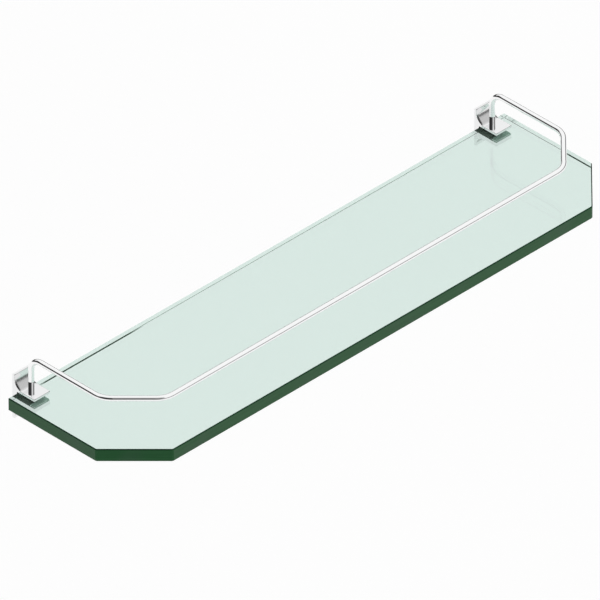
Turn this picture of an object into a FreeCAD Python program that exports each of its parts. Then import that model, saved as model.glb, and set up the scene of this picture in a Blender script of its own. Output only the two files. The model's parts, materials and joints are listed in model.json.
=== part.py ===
import FreeCAD, Part
import Sketcher
import math
import os
from FreeCAD import Placement, Rotation, Vector

# Wall shelf: a glass panel with two cut front corners, held at its back edge by two cast brackets,
# with a bent gallery rail that stands on the brackets' upper jaws and guards the ends and the front.
#
# Frame: millimetres, +Z up, X along the wall, the wall is the plane Y = 0 and the shelf reaches to -Y.
# The origin is the centre of the wall screw pattern, on the wall, level with the middle of the glass.

SIZES = (
    # glass panel
    ("glass_length", 561.0, "along the wall"),
    ("glass_depth", 142.8, "back edge to front edge"),
    ("glass_thickness", 12.0, "toughened float glass"),
    ("corner_cut", 43.4, "legs of the two 45 degree front corners"),
    ("arris", 0.8, "flat ground on every edge of the glass"),
    ("glass_back", 5.8, "wall to the back edge of the glass"),
    # brackets
    ("bracket_spacing", 522.0, "centre to centre"),
    ("bracket_width", 17.6, "along the wall"),
    ("bracket_half_height", 21.0, "middle of the glass to the end of the flange"),
    ("flange_thickness", 2.2, "at its thin upper and lower ends"),
    ("sweep_radius", 9.6, "hollow curve from flange to jaw"),
    ("jaw_reach", 25.1, "wall to the tip of both jaws"),
    ("web_thickness", 5.3, "wall to the bottom of the throat"),
    ("upper_jaw", 2.0, "thickness of the upper jaw"),
    ("lower_jaw", 3.6, "thickness of the lower jaw"),
    ("edge_round", 0.4, "broken outer edges of the casting"),
    # pads that keep metal off the glass
    ("upper_pad_thickness", 0.4, "rubber on top of the glass"),
    ("lower_pad_thickness", 1.2, "rubber under the glass"),
    ("pad_side_gap", 0.6, "pads stay this far inside the jaws' outline"),
    ("pad_play", 0.02, "air between a pad and what it lies against"),
    ("buffer_height", 10.0, "strip behind the back edge of the glass"),
    # hidden wall plate and the recess for it in the back of the bracket
    ("plate_width", 12.0, "along the wall"),
    ("plate_thickness", 2.4, "steel strip"),
    ("plate_half_height", 11.0, "middle to either end"),
    ("hook_bevel", 1.5, "undercut along the top of the plate"),
    ("screw_bevel", 2.0, "slope along the foot of the plate, for the lock screw"),
    ("recess_side_gap", 0.2, "plate to recess, each side"),
    ("recess_depth", 3.0, "into the back of the bracket"),
    ("recess_drop", 1.9, "free height under the plate, to lift the bracket over the hook"),
    ("hook_play", 0.2, "hook of the bracket to the bevel of the plate"),
    ("wall_hole_radius", 2.1, "clearance for a 4 mm wood screw"),
    ("wall_hole_spacing", 12.0, "upper to lower wall screw"),
    ("wall_head_radius", 3.8, "mouth of the countersinks"),
    # lock screw, headless M3 with a hexagon socket, square to the plate's lower bevel
    ("lock_radius", 1.5, "M3"),
    ("lock_length", 4.0, "from the bevel outwards"),
    ("lock_socket", 1.5, "across flats"),
    # clamp screw, headless M5 with a hexagon socket, under the lower pad
    ("clamp_radius", 2.5, "M5"),
    ("clamp_length", 3.4, "from the pad downwards"),
    ("clamp_socket", 2.5, "across flats"),
    ("clamp_reach", 18.6, "wall to the screw's axis"),
    # gallery rail and the screws that hold its ends
    ("rod_radius", 2.5, "5 mm rod"),
    ("rail_span", 520.8, "between the axes of the two posts"),
    ("rail_shift", -5.3, "rail against the middle of the glass, along the wall"),
    ("rail_height", 44.2, "middle of the glass to the rod's axis"),
    ("post_reach", 17.5, "wall to the axis of the two posts"),
    ("rail_reach", 133.4, "wall to the front run"),
    ("rail_cut", 35.8, "legs of the rail's 45 degree corners"),
    ("post_bend", 12.0, "centre line radius on top of the posts"),
    ("corner_bend", 20.0, "centre line radius at the corners"),
    ("rail_screw_radius", 1.5, "M3"),
    ("rail_screw_length", 8.0, "with its countersunk head"),
    ("rail_screw_head", 2.5, "radius of the head"),
    ("rail_screw_socket", 2.0, "across flats"),
    ("tapped_depth", 6.6, "hole in each end of the rod"),
    ("thread_gap", 0.05, "screw to hole, radial"),
    ("socket_depth", 1.2, "hexagon sockets"),
)

doc = FreeCAD.newDocument("wall_shelf")
sheet = doc.addObject("Spreadsheet::Sheet", "dims")
for row, (alias, value, note) in enumerate(SIZES, start=1):
    sheet.set(f"A{row}", alias)
    sheet.set(f"B{row}", str(value))
    sheet.set(f"C{row}", note)
    sheet.setAlias(f"B{row}", alias)
doc.recompute()

SIZE = {alias: float(sheet.get(alias)) for alias, _, _ in SIZES}
LEFT, RIGHT = -1, 1
SIDES = (("left", LEFT), ("right", RIGHT))


def formula(text):
    """A formula in the sheet's aliases, written the way FreeCAD's expressions name them."""
    for alias in sorted(SIZE, key=len, reverse=True):
        text = text.replace(alias, f"<<{alias}>>")
    return text.replace("<<", "dims.").replace(">>", "")


def value_of(text):
    """The number that a formula in the sheet's aliases stands for."""
    return float(sheet.evalExpression(formula(text)))


def bind(item, **formulas):
    """Bind properties of a document object to formulas in the sheet's aliases."""
    for name, text in formulas.items():
        item.setExpression(name, formula(text))
    return item


def place(item, across="0", reach="0", height="0", turn=None):
    """Put an object at X = across, Y = -reach, Z = height, all formulas, with an optional rotation."""
    if turn:
        item.Placement = Placement(Vector(), turn)
    for axis, text in (("x", across), ("y", f"-({reach})"), ("z", height)):
        item.setExpression(f"Placement.Base.{axis}", formula(text))
    return item


def origin_plane(body, role):
    """One of a body's own three base planes."""
    return next(f for f in body.Origin.OriginFeatures if f.Role == role)


def outline(body, name, role, corners):
    """A closed polygon on a base plane. Each corner is a pair of formulas, one for each sketch axis."""
    sketch = body.newObject("Sketcher::SketchObject", name)
    sketch.AttachmentSupport = [(origin_plane(body, role), "")]
    sketch.MapMode = "FlatFace"
    points = [Vector(value_of(u), value_of(v), 0) for u, v in corners]
    count = len(points)
    for i in range(count):
        sketch.addGeometry(Part.LineSegment(points[i], points[(i + 1) % count]), False)
    for i, (u, v) in enumerate(corners):
        sketch.addConstraint(Sketcher.Constraint("Coincident", i, 2, (i + 1) % count, 1))
        for kind, text, size in (("DistanceX", u, points[i].x), ("DistanceY", v, points[i].y)):
            index = sketch.addConstraint(Sketcher.Constraint(kind, -1, 1, i, 1, size))
            sketch.setExpression(f"Constraints[{index}]", formula(text))
    return sketch


def padded(name, role, corners, thickness):
    """A body whose outline is padded evenly to both sides of a base plane."""
    body = doc.addObject("PartDesign::Body", name)
    pad = body.newObject("PartDesign::Pad", f"{name}_pad")
    pad.Profile = outline(body, f"{name}_outline", role, corners)
    pad.Midplane = True
    bind(pad, Length=thickness)
    doc.recompute()
    return body


def dressed(body, kind, size_name, size, wanted):
    """Fillet or chamfer the edges of the body's tip for which wanted(edge) holds."""
    base = body.Tip
    names = [f"Edge{i}" for i, edge in enumerate(base.Shape.Edges, start=1) if wanted(edge)]
    dress = body.newObject(f"PartDesign::{kind}", f"{body.Name}_{kind.lower()}")
    dress.Base = (base, names)
    bind(dress, **{size_name: size})
    doc.recompute()
    return body


def cylinder(name, radius, height):
    return bind(doc.addObject("Part::Cylinder", name), Radius=radius, Height=height)


def cone(name, radius_1, radius_2, height):
    return bind(doc.addObject("Part::Cone", name), Radius1=radius_1, Radius2=radius_2, Height=height)


def box(name, length, width, height):
    return bind(doc.addObject("Part::Box", name), Length=length, Width=width, Height=height)


def hexagon(name, across_flats, depth):
    prism = doc.addObject("Part::Prism", name)
    prism.Polygon = 6
    return bind(prism, Circumradius=f"({across_flats}) / sqrt(3)", Height=depth)


def cut(name, base, tools):
    """base without each of the tools, cut away one after another."""
    for number, tool in enumerate(tools, start=1):
        result = doc.addObject("Part::Cut", name if tool is tools[-1] else f"{name}_cut_{number}")
        result.Base = base
        result.Tool = tool
        base = result
    doc.recompute()
    return base


def fuse(name, first, second):
    result = doc.addObject("Part::Fuse", name)
    result.Base = first
    result.Tool = second
    doc.recompute()
    return result


# heights over the middle of the glass
GLASS_TOP = "glass_thickness / 2"
THROAT_TOP = "glass_thickness / 2 + upper_pad_thickness"
JAW_TOP = "glass_thickness / 2 + upper_pad_thickness + upper_jaw"
THROAT_FLOOR = "-glass_thickness / 2 - lower_pad_thickness"
JAW_FLOOR = "-glass_thickness / 2 - lower_pad_thickness - lower_jaw"


def bracket_centre(side):
    return f"{side} * bracket_spacing / 2"


def post_centre(side):
    return f"{side} * rail_span / 2 + rail_shift"


def glass_panel():
    half, back, front = "glass_length / 2", "-glass_back", "-glass_back - glass_depth"
    corners = (
        (f"-{half}", back),
        (half, back),
        (half, f"{front} + corner_cut"),
        (f"{half} - corner_cut", front),
        (f"-{half} + corner_cut", front),
        (f"-{half}", f"{front} + corner_cut"),
    )
    body = padded("glass_panel", "XY_Plane", corners, "glass_thickness")
    return dressed(body, "Chamfer", "Size", "arris", lambda edge: True)


def rounded_path(points, radii):
    """Straight runs through the points, joined by tangent arcs of the given radii at the inner points."""
    edges, start = [], points[0]
    for before, corner, after, radius in zip(points, points[1:], points[2:], radii):
        towards, away = (before - corner).normalize(), (after - corner).normalize()
        half_angle = towards.getAngle(away) / 2
        setback = radius / math.tan(half_angle)
        middle_way = (towards + away).normalize()
        centre = corner + middle_way * (radius / math.sin(half_angle))
        first, last = corner + towards * setback, corner + away * setback
        edges.append(Part.LineSegment(start, first).toShape())
        edges.append(Part.Arc(first, centre - middle_way * radius, last).toShape())
        start = last
    edges.append(Part.LineSegment(start, points[-1]).toShape())
    return Part.Wire(edges)


def gallery_rail():
    """One rod, bent out of a single plane: up from each jaw, forward, across both corners and the front."""
    foot, level = value_of(JAW_TOP), SIZE["rail_height"]
    half, shift, leg = SIZE["rail_span"] / 2, SIZE["rail_shift"], SIZE["rail_cut"]
    post, front = -SIZE["post_reach"], -SIZE["rail_reach"]
    left_half = [
        Vector(-half, post, foot),
        Vector(-half, post, level),
        Vector(-half, front + leg, level),
        Vector(-half + leg, front, level),
    ]
    right_half = [Vector(-point.x, point.y, point.z) for point in reversed(left_half)]
    corner, top = SIZE["corner_bend"], SIZE["post_bend"]
    path = rounded_path(left_half + right_half, (top, corner, corner, corner, corner, top))
    circle = Part.Wire(Part.Circle(path.Vertexes[0].Point, Vector(0, 0, 1), SIZE["rod_radius"]).toShape())
    rod = path.makePipeShell([circle], True, False)
    hole_radius = SIZE["rail_screw_radius"] + SIZE["thread_gap"]
    for end in (-half, half):
        rod = rod.cut(Part.makeCylinder(hole_radius, SIZE["tapped_depth"], Vector(end, post, foot)))
    rail = doc.addObject("Part::Feature", "gallery_rail")
    rail.Shape = rod
    rail.Placement = Placement(Vector(shift, 0, 0), Rotation())
    return rail


def socket_screw(name, radius, length, across_flats):
    """A headless screw along +Z from its foot at the origin, with a hexagon socket in the foot."""
    shank = cylinder(f"{name}_shank", radius, length)
    return cut(name, shank, [hexagon(f"{name}_socket", across_flats, "socket_depth")])


def near(value, *levels):
    """Whether a coordinate lies at one of the levels."""
    return any(abs(value - level) < 0.01 for level in levels)


def runs_along_x(edge):
    return near(abs(edge.tangentAt(edge.FirstParameter).x), 1)


def bracket_casting(name):
    """Side profile of the flange, web and two jaws, padded across, then its curves and rounded edges."""
    flange, tip, web = "-flange_thickness", "-jaw_reach", "-web_thickness"
    end = "bracket_half_height"
    corners = (
        ("0", f"-{end}"),
        (flange, f"-{end}"),
        (flange, JAW_FLOOR),
        (tip, JAW_FLOOR),
        (tip, THROAT_FLOOR),
        (web, THROAT_FLOOR),
        (web, THROAT_TOP),
        (tip, THROAT_TOP),
        (tip, JAW_TOP),
        (flange, JAW_TOP),
        (flange, end),
        ("0", end),
    )
    body = padded(name, "YZ_Plane", corners, "bracket_width")
    flange_face, tip_face, end_height = value_of(flange), value_of(tip), value_of(end)
    jaw_levels = value_of(JAW_FLOOR), value_of(JAW_TOP)
    throat_floor, throat_top = value_of(THROAT_FLOOR), value_of(THROAT_TOP)

    def hollow_corner(edge):
        """Where the flange meets a jaw."""
        middle = edge.CenterOfMass
        return runs_along_x(edge) and near(middle.y, flange_face) and near(middle.z, *jaw_levels)

    def hand_edge(edge):
        """What a hand meets: nothing on the wall, in the throat or where a curve runs into a flat."""
        middle = edge.CenterOfMass
        on_wall = any(near(vertex.Point.y, 0) for vertex in edge.Vertexes)
        in_throat = throat_floor - 0.01 < middle.z < throat_top + 0.01
        sharp = near(middle.y, tip_face) or near(abs(middle.z), end_height)
        return not on_wall and not in_throat and (sharp or not runs_along_x(edge))

    dressed(body, "Fillet", "Radius", "sweep_radius", hollow_corner)
    return dressed(body, "Fillet", "Radius", "edge_round", hand_edge)


def recess(body):
    """The pocket in the back for the wall plate, with a downward hook along its top."""
    top = "plate_half_height + hook_play"
    floor = "-plate_half_height - recess_drop"
    corners = (
        ("0", floor),
        ("-recess_depth", floor),
        ("-recess_depth", top),
        ("-hook_bevel", top),
        ("0", f"{top} - hook_bevel"),
    )
    pocket = body.newObject("PartDesign::Pocket", f"{body.Name}_recess")
    pocket.Profile = outline(body, f"{body.Name}_recess_outline", "YZ_Plane", corners)
    pocket.Midplane = True
    bind(pocket, Length="plate_width + 2 * recess_side_gap")
    doc.recompute()


UP_TO_THE_WALL = Rotation(Vector(1, 0, 0), -45)  # +Z turned to point up and towards the wall
BEVEL_REACH = "plate_thickness - screw_bevel / 2"  # middle of the plate's lower bevel
BEVEL_HEIGHT = "-plate_half_height + screw_bevel / 2"


def along_lock(distance):
    """Reach and height of a point on the lock screw's axis, this far out from the plate's bevel."""
    return f"{BEVEL_REACH} + ({distance}) * sqrt(0.5)", f"{BEVEL_HEIGHT} - ({distance}) * sqrt(0.5)"


def bracket_body(name, side):
    """The casting with its recess, and the three drilled holes: rail screw, clamp screw and lock screw."""
    casting = bracket_casting(f"{name}_casting")
    recess(casting)
    casting.Placement = Placement()
    place(casting, bracket_centre(side))
    shank = cylinder(f"{name}_rail_hole", "rail_screw_radius + 2 * thread_gap", "upper_jaw")
    place(shank, post_centre(side), "post_reach", THROAT_TOP)
    head = "rail_screw_head + thread_gap"
    sink = cone(f"{name}_countersink", head, "rail_screw_radius", f"{head} - rail_screw_radius")
    place(sink, post_centre(side), "post_reach", THROAT_TOP)
    thread = cylinder(f"{name}_clamp_thread", "clamp_radius + thread_gap", "lower_jaw")
    place(thread, bracket_centre(side), "clamp_reach", JAW_FLOOR)
    lock = cylinder(f"{name}_lock_thread", "lock_radius + thread_gap", "2 * lock_length")
    place(lock, bracket_centre(side), *along_lock("2 * lock_length"), UP_TO_THE_WALL)
    return cut(name, casting, [shank, sink, thread, lock])


def wall_plate(name, side):
    """A steel strip with a hooked top, a sloped foot and two countersunk holes for wall screws."""
    top, foot, front = "plate_half_height", "-plate_half_height", "-plate_thickness"
    corners = (
        ("0", foot),
        (f"{front} + screw_bevel", foot),
        (front, f"{foot} + screw_bevel"),
        (front, top),
        ("-hook_bevel", top),
        ("0", f"{top} - hook_bevel"),
    )
    strip = padded(f"{name}_strip", "YZ_Plane", corners, "plate_width")
    place(strip, bracket_centre(side))
    tools = []
    out_of_the_wall = Rotation(Vector(1, 0, 0), 90)
    for row, up in (("upper", 1), ("lower", -1)):
        height = f"{up} * wall_hole_spacing / 2"
        hole = cylinder(f"{name}_{row}_hole", "wall_hole_radius", "plate_thickness")
        tools.append(place(hole, bracket_centre(side), "0", height, out_of_the_wall))
        depth = "wall_head_radius - wall_hole_radius"
        sink = cone(f"{name}_{row}_sink", "wall_hole_radius", "wall_head_radius", depth)
        start = f"plate_thickness - ({depth})"
        tools.append(place(sink, bracket_centre(side), start, height, out_of_the_wall))
    return cut(name, strip, tools)


def lock_screw(name, side):
    screw = socket_screw(name, "lock_radius", "lock_length", "lock_socket")
    return place(screw, bracket_centre(side), *along_lock("lock_length"), UP_TO_THE_WALL)


def clamp_screw(name, side):
    screw = socket_screw(name, "clamp_radius", "clamp_length", "clamp_socket")
    return place(screw, bracket_centre(side), "clamp_reach", f"{THROAT_FLOOR} - clamp_length")


def rail_screw(name, side):
    """Countersunk, its flat head level with the underside of the upper jaw."""
    depth = "rail_screw_head - rail_screw_radius"
    head = cone(f"{name}_head", "rail_screw_head", "rail_screw_radius", depth)
    shank = cylinder(f"{name}_shank", "rail_screw_radius", "rail_screw_length")
    blank = fuse(f"{name}_blank", head, shank)
    screw = cut(name, blank, [hexagon(f"{name}_socket", "rail_screw_socket", "socket_depth")])
    return place(screw, post_centre(side), "post_reach", THROAT_TOP)


def strip(name, side, front, back, floor, height):
    """A flat strip as wide as the pads, between two distances off the wall."""
    block = box(name, "bracket_width - 2 * pad_side_gap", f"({front}) - ({back})", height)
    return place(block, f"{bracket_centre(side)} - bracket_width / 2 + pad_side_gap", front, floor)


def pad(name, side, thickness, floor):
    """A pad inside the jaws' outline that fills the gap between jaw and glass but for its play."""
    front, back = "jaw_reach - pad_side_gap", "glass_back + arris"
    return strip(name, side, front, back, f"{floor} + pad_play", f"{thickness} - 2 * pad_play")


def upper_pad(name, side):
    return pad(name, side, "upper_pad_thickness", GLASS_TOP)


def lower_pad(name, side):
    return pad(name, side, "lower_pad_thickness", THROAT_FLOOR)


def back_buffer(name, side):
    """A thin strip between the web and the back edge of the glass."""
    front, back = "glass_back - pad_play", "web_thickness + pad_play"
    return strip(name, side, front, back, "-buffer_height / 2", "buffer_height")


BRACKET_PIECES = (
    bracket_body,
    wall_plate,
    lock_screw,
    clamp_screw,
    rail_screw,
    upper_pad,
    lower_pad,
    back_buffer,
)

pieces = [glass_panel(), gallery_rail()]
for side_name, side in SIDES:
    for make in BRACKET_PIECES:
        piece = make(f"{make.__name__}_{side_name}", side)
        pieces.append(piece)
doc.recompute()
for piece in pieces:
    piece.Label = piece.Name

failed = [item.Name for item in doc.Objects if {"Invalid", "Error"} & set(item.State)]
failed += [piece.Label for piece in pieces if piece.Shape.isNull() or not piece.Shape.isValid()]
failed += [piece.Label for piece in pieces if len(piece.Shape.Solids) != 1]
if failed:
    raise RuntimeError(f"not built: {failed}")

os.makedirs("parts", exist_ok=True)
for piece in pieces:
    piece.Shape.exportStep(f"parts/{piece.Label}.step")
    print(f"{piece.Label}: {piece.Shape.Volume:.1f} mm3")
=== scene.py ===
import json
import math

import bpy
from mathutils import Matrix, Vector


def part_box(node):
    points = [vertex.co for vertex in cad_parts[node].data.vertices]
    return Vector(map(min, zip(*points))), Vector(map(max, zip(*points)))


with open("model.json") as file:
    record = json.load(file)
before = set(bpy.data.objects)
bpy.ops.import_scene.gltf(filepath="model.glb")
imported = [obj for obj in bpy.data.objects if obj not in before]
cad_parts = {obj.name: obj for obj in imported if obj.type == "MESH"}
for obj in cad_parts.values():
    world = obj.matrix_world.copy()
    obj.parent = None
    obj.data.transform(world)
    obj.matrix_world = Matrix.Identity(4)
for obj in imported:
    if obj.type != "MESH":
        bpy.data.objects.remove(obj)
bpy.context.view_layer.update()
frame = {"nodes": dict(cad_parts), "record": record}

MM = 0.001
WHITE = 0.985  # linear brightness of the bare studio
PAD_PAINTED_LIGHT_FROM = 19.5  # mm from the wall to where the painted light on the pads begins
POST_FOOT = 21.5  # mm over the middle of the glass, up to where the posts are finished differently
POST_LEAN = 0.5  # how far the finish of the posts' feet leans upwards

# A dark reflection is painted on the lower arris, seen through the glass, on these stretches: starts, is
# full, begins to fade, ends.
PAINTED_REFLECTION_BEHIND = (-246.0, -238.0, -146.0, -128.0)  # mm along the wall
PAINTED_REFLECTION_RIGHT = (-72.0, -80.0, -102.0, -108.0)  # mm from the wall, at the right end
RIGHT_END = (277.0, 278.0)  # mm along the wall, from where the right end begins

GLASS_IOR = 1.52
GLASS_TINT = (0.75, 0.86, 0.82, 1.0)
EDGE_GREEN = (0.006, 0.058, 0.010, 1.0)
EDGE_GREEN_PALER = (0.015, 0.078, 0.020, 1.0)
EDGE_PATCH = (0.034, 0.070, 0.040, 1.0)
# ARRIS_GREEN is the dark green of the upper arris seen from outside, and also the colour of the painted dark
# reflection on the lower arris.
ARRIS_GREEN = (0.0, 0.022, 0.006, 1.0)
EDGE_SHEEN = (0.25, 0.7, 0.4, 1.0)

SWEEP_PAINTED_SHADE = 0.54  # the hollow sweeps get a painted shade, a greyer base colour, and are rougher than the flats
SWEEP_ROUGHNESS = 0.23
SWEEP_ENDS = (5.8, 8.7)  # mm from the middle of a bracket, where the sweep begins to roll over and is rolled
SWEEP_ROLL = 1.3

scene = bpy.context.scene
scene.view_settings.view_transform = "Standard"
scene.cycles.max_bounces = 32
scene.cycles.transmission_bounces = 32
scene.cycles.glossy_bounces = 12
scene.cycles.volume_bounces = 0


# ---------------------------------------------------------------- node helpers

class Nodes:
    """A thin wrapper that adds nodes to a tree and links them by socket name."""

    def __init__(self, tree):
        self.tree = tree
        tree.nodes.clear()

    def add(self, kind, inputs=None, **settings):
        node = self.tree.nodes.new(kind)
        for name, value in settings.items():
            setattr(node, name, value)
        for key, value in (inputs or {}).items():
            self.feed(node.inputs[key], value)
        return node

    def feed(self, socket, value):
        if isinstance(value, bpy.types.NodeSocket):
            self.tree.links.new(value, socket)
        else:
            socket.default_value = value

    def maths(self, operation, first, second=0.0, third=0.0):
        node = self.add("ShaderNodeMath", {0: first, 1: second, 2: third}, operation=operation)
        return node.outputs[0]

    def ranged(self, value, low, high, to_low=0.0, to_high=1.0, smooth=False):
        kind = "SMOOTHSTEP" if smooth else "LINEAR"
        keys = {"Value": value, "From Min": low, "From Max": high, "To Min": to_low, "To Max": to_high}
        return self.add("ShaderNodeMapRange", keys, interpolation_type=kind).outputs[0]

    def noise(self, where, scale, detail=3.0, roughness=0.5):
        keys = {"Vector": where, "Scale": scale, "Detail": detail, "Roughness": roughness}
        return self.add("ShaderNodeTexNoise", keys).outputs["Fac"]

    def stretched(self, where, scale):
        return self.add("ShaderNodeMapping", {"Vector": where, "Scale": scale}).outputs[0]

    def bump(self, height, strength, distance):
        keys = {"Height": height, "Strength": strength, "Distance": distance}
        return self.add("ShaderNodeBump", keys).outputs[0]

    def mix(self, factor, first, second):
        node = self.add("ShaderNodeMix", {"Factor": factor}, data_type="RGBA")
        self.feed(node.inputs[6], first)
        self.feed(node.inputs[7], second)
        return node.outputs[2]


def material(name):
    """A new material, and the nodes to build it with."""
    made = bpy.data.materials.new(name)
    made.use_nodes = True
    return made, Nodes(made.node_tree)


def surface(nodes, inputs, volume=None):
    """Ends a material in one Principled shader, and in a volume where there is one."""
    shader = nodes.add("ShaderNodeBsdfPrincipled", inputs)
    output = nodes.add("ShaderNodeOutputMaterial")
    nodes.feed(output.inputs["Surface"], shader.outputs[0])
    if volume:
        nodes.feed(output.inputs["Volume"], volume)


def grey(level):
    return (level, level, level, 1.0)


# ---------------------------------------------------------------- materials

def stretch(n, along, starts, full, fades, ends):
    """One from full to fades, and zero before starts and after ends."""
    return n.maths("MULTIPLY", n.ranged(along, starts, full), n.ranged(along, ends, fades))


def painted_dark_reflection(n, place):
    """Painted dark reflection on the lower arris, seen through the glass: near the left bracket, and on the
    right end.
    """
    along = n.add("ShaderNodeSeparateXYZ", {0: n.stretched(place, (1 / MM, 1 / MM, 1 / MM))}).outputs
    behind = stretch(n, along["X"], *PAINTED_REFLECTION_BEHIND)
    right = n.maths("MULTIPLY", n.ranged(along["X"], *RIGHT_END), stretch(n, along["Y"], *PAINTED_REFLECTION_RIGHT))
    return n.maths("MAXIMUM", behind, right)


def glass():
    """Green float glass: clear through its faces, and dark green where a polished edge is seen from outside.

    From inside, a dark reflection is painted on the lower arris, on the stretches given near the top.
    """
    made, n = material("green_glass")
    place = n.add("ShaderNodeTexCoord").outputs["Object"]
    skin = n.add("ShaderNodeNewGeometry").outputs
    up = n.add("ShaderNodeSeparateXYZ", {0: skin["True Normal"]}).outputs["Z"]
    rim = n.ranged(n.maths("ABSOLUTE", up), 0.9, 0.8)
    from_outside = n.maths("SUBTRACT", 1.0, skin["Backfacing"])
    edge = n.maths("MULTIPLY", rim, from_outside)
    arris = n.maths("MULTIPLY", n.ranged(up, 0.5, 0.6), rim)
    # Painted dark reflection: from inside, the lower arris turns opaque and dark green on the given
    # stretches.
    painted_reflection = n.maths("MULTIPLY", n.maths("MULTIPLY", arris, skin["Backfacing"]), painted_dark_reflection(n, place))
    solid = n.maths("MAXIMUM", edge, painted_reflection)
    streaks = n.noise(n.stretched(place, (6.0, 6.0, 130.0)), 3.0, 4.0, 0.6)
    patches = n.ranged(n.noise(place, 28.0, 2.0), 0.5, 0.72, 0.0, 0.6)
    green = n.mix(n.ranged(streaks, 0.3, 0.7), EDGE_GREEN, EDGE_GREEN_PALER)
    body = n.mix(patches, green, EDGE_PATCH)
    deep = n.mix(arris, body, ARRIS_GREEN)
    smudge = n.ranged(n.noise(place, 26.0, 4.0), 0.5, 0.8, 0.0, 0.012)
    wave = n.noise(n.stretched(place, (1.0, 0.25, 1.0)), 9.0, 1.0)
    density = n.add("ShaderNodeVolumeAbsorption", {"Color": GLASS_TINT, "Density": 100.0})
    surface(n, {
        "Base Color": n.mix(solid, grey(1.0), deep),
        "Roughness": n.maths("MULTIPLY_ADD", edge, 0.05, smudge),
        "IOR": GLASS_IOR,
        "Specular Tint": EDGE_SHEEN,
        "Transmission Weight": n.maths("SUBTRACT", 1.0, solid),
        "Normal": n.bump(wave, 0.02, 0.1 * MM),
    }, density.outputs[0])
    return made


def chrome(name, shine, polish_direction, shape):
    """Bright chrome: almost a mirror, with faint polishing lines and haze.

    shape gives the vector that the finish leans by, and how much painted shade and extra roughness it takes,
    from 0 to 1.
    """
    made, n = material(name)
    place = n.add("ShaderNodeTexCoord").outputs["Object"]
    haze = n.noise(place, 60.0, 5.0, 0.6)
    lines = n.noise(n.stretched(place, polish_direction), 400.0, 2.0)
    bright = n.mix(haze, (shine - 0.015, shine - 0.01, shine - 0.005, 1.0), grey(shine + 0.015))
    lean, painted_shade_and_rough = shape(n, place)
    skin = n.add("ShaderNodeNewGeometry").outputs["Normal"]
    leant = n.add("ShaderNodeVectorMath", {0: skin, 1: lean}, operation="ADD").outputs[0]
    upright = n.add("ShaderNodeVectorMath", {0: leant}, operation="NORMALIZE").outputs[0]
    relief = n.add("ShaderNodeBump", {
        "Height": lines, "Strength": 0.02, "Distance": 0.02 * MM, "Normal": upright})
    polish = n.ranged(haze, 0.35, 0.75, 0.03, 0.075)
    surface(n, {
        # Painted shade: where the surface is hollow, the base colour turns greyer.
        "Base Color": n.mix(painted_shade_and_rough, bright, grey(SWEEP_PAINTED_SHADE)),
        "Metallic": 1.0,
        "Roughness": n.maths("MULTIPLY_ADD", painted_shade_and_rough, SWEEP_ROUGHNESS, polish),
        "Normal": relief.outputs[0],
    })
    return made


def vector(n, x, y, z):
    return n.add("ShaderNodeCombineXYZ", {0: x, 1: y, 2: z}).outputs[0]


def post_foot(n, place):
    """The lowest stretch of each post is finished as a faint cone."""
    height = n.add("ShaderNodeSeparateXYZ", {0: place}).outputs["Z"]
    foot = n.ranged(height, POST_FOOT * MM, (POST_FOOT - 0.5) * MM)
    return vector(n, 0.0, 0.0, n.maths("MULTIPLY", foot, POST_LEAN)), 0.0


def hollow_sweep(n, place):
    """The hollow curves get a painted shade and are rougher than the flats, and roll over towards their two
    ends.
    """
    skin = n.add("ShaderNodeSeparateXYZ", {0: n.add("ShaderNodeNewGeometry").outputs["True Normal"]})
    slope = n.maths("MULTIPLY", skin.outputs["Y"], skin.outputs["Z"])
    hollow = n.ranged(n.maths("ABSOLUTE", slope), 0.1, 0.4, smooth=True)
    low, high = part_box("bracket_body_right")
    middle = (low.x + high.x) / 2
    across = n.add("ShaderNodeSeparateXYZ", {0: place}).outputs["X"]
    side = n.maths("SIGN", across)
    off = n.maths("SUBTRACT", across, n.maths("MULTIPLY", side, middle))
    starts, full = SWEEP_ENDS
    ends = n.ranged(n.maths("ABSOLUTE", off), starts * MM, full * MM, smooth=True)
    roll = n.maths("MULTIPLY", n.maths("MULTIPLY", ends, hollow), n.maths("SIGN", off))
    # The hollow mask carries both the painted shade and the rougher finish.
    return vector(n, n.maths("MULTIPLY", roll, SWEEP_ROLL), 0.0, 0.0), hollow


def steel(name, tone, roughness, grain_direction, grain_scale, grain_depth):
    """Plain steel with a drawn or turned grain."""
    made, n = material(name)
    place = n.add("ShaderNodeTexCoord").outputs["Object"]
    grain = n.noise(n.stretched(place, grain_direction), grain_scale, 4.0, 0.7)
    cloud = n.noise(place, 90.0, 4.0)
    colour = n.mix(cloud, grey(tone * 0.86), (tone, tone * 1.01, tone * 1.03, 1.0))
    surface(n, {
        "Base Color": colour,
        "Metallic": 1.0,
        "Roughness": n.ranged(grain, 0.3, 0.7, roughness * 0.7, roughness * 1.3),
        "Normal": n.bump(grain, 0.25, grain_depth),
    })
    return made


def rubber():
    """Black rubber with a fine moulded grain, and painted light, a light green strip, along the front of
    each pad.
    """
    made, n = material("pad_rubber")
    place = n.add("ShaderNodeTexCoord").outputs["Object"]
    speck = n.noise(place, 900.0, 5.0, 0.65)
    reach = n.maths("MULTIPLY", n.add("ShaderNodeSeparateXYZ", {0: place}).outputs["Y"], -1 / MM)
    # Painted light: the front strip of each pad is painted a light green as if lit from the front.
    painted_light = n.ranged(reach, PAD_PAINTED_LIGHT_FROM - 0.2, PAD_PAINTED_LIGHT_FROM + 0.2)
    black = n.mix(speck, grey(0.004), grey(0.008))
    pale = n.mix(speck, (0.76, 0.86, 0.81, 1.0), (0.84, 0.93, 0.88, 1.0))
    surface(n, {
        "Base Color": n.mix(painted_light, black, pale),
        "Roughness": n.ranged(speck, 0.3, 0.7, 0.5, 0.65),
        "Normal": n.bump(speck, 0.2, 0.03 * MM),
    })
    return made


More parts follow.
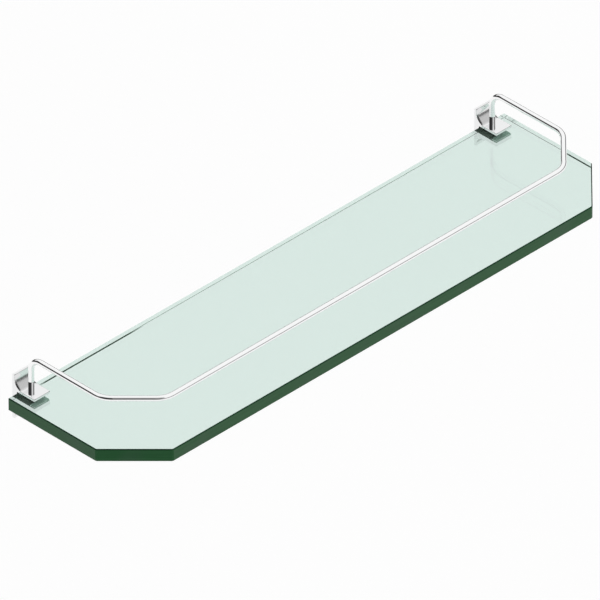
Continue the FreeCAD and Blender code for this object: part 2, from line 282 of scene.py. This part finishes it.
LOOKS = {
    "glass": glass(),
    "chrome": chrome("rail_chrome", 0.94, (1.0, 1.0, 0.1), post_foot),
    "chrome_casting": chrome("cast_chrome", 0.865, (0.1, 1.0, 1.0), hollow_sweep),
    "zinc_steel": steel("zinc_steel", 0.62, 0.34, (1.0, 1.0, 0.08), 500.0, 0.05 * MM),
    "screw_steel": steel("screw_steel", 0.52, 0.3, (1.0, 1.0, 0.5), 900.0, 0.03 * MM),
    "pad_rubber": rubber(),
}

for part in frame["record"]["subparts"]:
    node = frame["nodes"][part["node"]]
    for slot in node.material_slots:
        slot.material = LOOKS[part["material_slot"]]


# ---------------------------------------------------------------- studio

FLOOR_DEPTH = 0.9
FLOOR_SIZE = 13.0
FLOOR_GLOW = 0.594  # makes the floor as bright as the studio behind it

# Bearings of what the chrome mirrors, as azimuth and elevation.
LEFT_SCREEN = (-105, 0)
RIGHT_HORIZON = (35, 0)
FRONT_CARD = (-45, 32)
CORNER_SPOT = (-72, 32)


def floor():
    """A pale floor that can be looked through from below."""
    bpy.ops.mesh.primitive_plane_add(size=FLOOR_SIZE, location=(0, 0, -FLOOR_DEPTH))
    plane = bpy.context.object
    plane.name = "studio_floor"
    made, n = material("studio_floor")
    place = n.add("ShaderNodeTexCoord").outputs["Object"]
    tone = n.mix(n.noise(place, 1.5, 3.0), grey(0.49), grey(0.50))
    pale = n.add("ShaderNodeBsdfPrincipled", {
        "Base Color": tone, "Roughness": 0.7, "Emission Color": grey(1.0), "Emission Strength": FLOOR_GLOW})
    from_below = n.add("ShaderNodeNewGeometry").outputs["Backfacing"]
    clear = n.add("ShaderNodeBsdfTransparent")
    both = n.add("ShaderNodeMixShader", {0: from_below, 1: pale.outputs[0], 2: clear.outputs[0]})
    n.add("ShaderNodeOutputMaterial", {"Surface": both.outputs[0]})
    plane.data.materials.append(made)


def bearing(azimuth, elevation):
    """Unit vector towards a place in the studio, in the same angles as the camera."""
    a, e = math.radians(azimuth), math.radians(elevation)
    return Vector((math.sin(a) * math.cos(e), -math.cos(a) * math.cos(e), math.sin(e)))


def studio_light():
    """White all round, with four darker places that only reflections show.

    They are a screen low on the left, a narrow gap along the horizon, a grey card in front, and a small
    spot between the screen and the card.
    """
    world = bpy.data.worlds.new("studio")
    world.use_nodes = True
    scene.world = world
    n = Nodes(world.node_tree)
    way = n.add("ShaderNodeTexCoord").outputs["Generated"]

    def facing(direction):
        keys = {0: way, 1: tuple(direction)}
        return n.add("ShaderNodeVectorMath", keys, operation="DOT_PRODUCT").outputs["Value"]

    height = facing((0, 0, 1))
    above_floor = n.ranged(height, -0.3, -0.2, 0.0, 1.0, smooth=True)
    gap_height = n.maths("MULTIPLY", above_floor, n.ranged(height, 0.14, 0.3, 1.0, 0.0, smooth=True))
    screen_height = n.maths("MULTIPLY", above_floor, n.ranged(height, 0.5, 0.62, 1.0, 0.0, smooth=True))
    gap = n.ranged(facing(bearing(*RIGHT_HORIZON)), 0.2, 0.95, 0.97, 0.8, smooth=True)
    screen = n.ranged(facing(bearing(*LEFT_SCREEN)), 0.25, 0.6, 0.0, 0.97, smooth=True)
    card = n.ranged(facing(bearing(*FRONT_CARD)), 0.8, 0.9, 0.0, 0.72, smooth=True)
    spot = n.ranged(facing(bearing(*CORNER_SPOT)), 0.86, 0.94, 0.0, 0.95, smooth=True)
    low_gap = n.maths("MULTIPLY", gap_height, gap)
    low_screen = n.maths("MULTIPLY", screen_height, screen)
    ahead = n.maths("MULTIPLY", above_floor, n.maths("MAXIMUM", card, spot))
    dark = n.maths("MAXIMUM", n.maths("MAXIMUM", low_gap, low_screen), ahead)
    seen = n.maths("SUBTRACT", 1.0, dark)
    camera = n.add("ShaderNodeLightPath").outputs["Is Camera Ray"]
    level = n.maths("MULTIPLY", n.maths("MAXIMUM", seen, camera), WHITE)
    light = n.add("ShaderNodeBackground", {"Color": grey(1.0), "Strength": level})
    n.add("ShaderNodeOutputWorld", {"Surface": light.outputs[0]})


floor()
studio_light()


# ---------------------------------------------------------------- camera

VIEW_AZIMUTH = -45.0
VIEW_ELEVATION = math.degrees(math.atan(math.sqrt(0.5)))  # the three axes look equally long
FRAME_WIDTH = 0.4791  # what the picture spans at the shelf
LENS = 1600.0  # mm, so long that parallel edges stay almost parallel
SENSOR = 36.0
AIM_SHIFT = Vector((-20.52, 3.07, 5.51)) * MM  # middle of the picture, from the middle of the glass


def camera():
    low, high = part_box("glass_panel")
    aim = (low + high) / 2 + AIM_SHIFT
    lens = bpy.data.cameras.new("camera")
    lens.sensor_width = SENSOR
    lens.lens = LENS
    eye = bpy.data.objects.new("camera", lens)
    away = bearing(VIEW_AZIMUTH, VIEW_ELEVATION)
    distance = FRAME_WIDTH * LENS / SENSOR
    eye.location = aim + away * distance
    eye.rotation_euler = (-away).to_track_quat("-Z", "Y").to_euler()
    lens.clip_start = distance * 0.5
    lens.clip_end = distance * 3.0
    scene.collection.objects.link(eye)
    scene.camera = eye


camera()
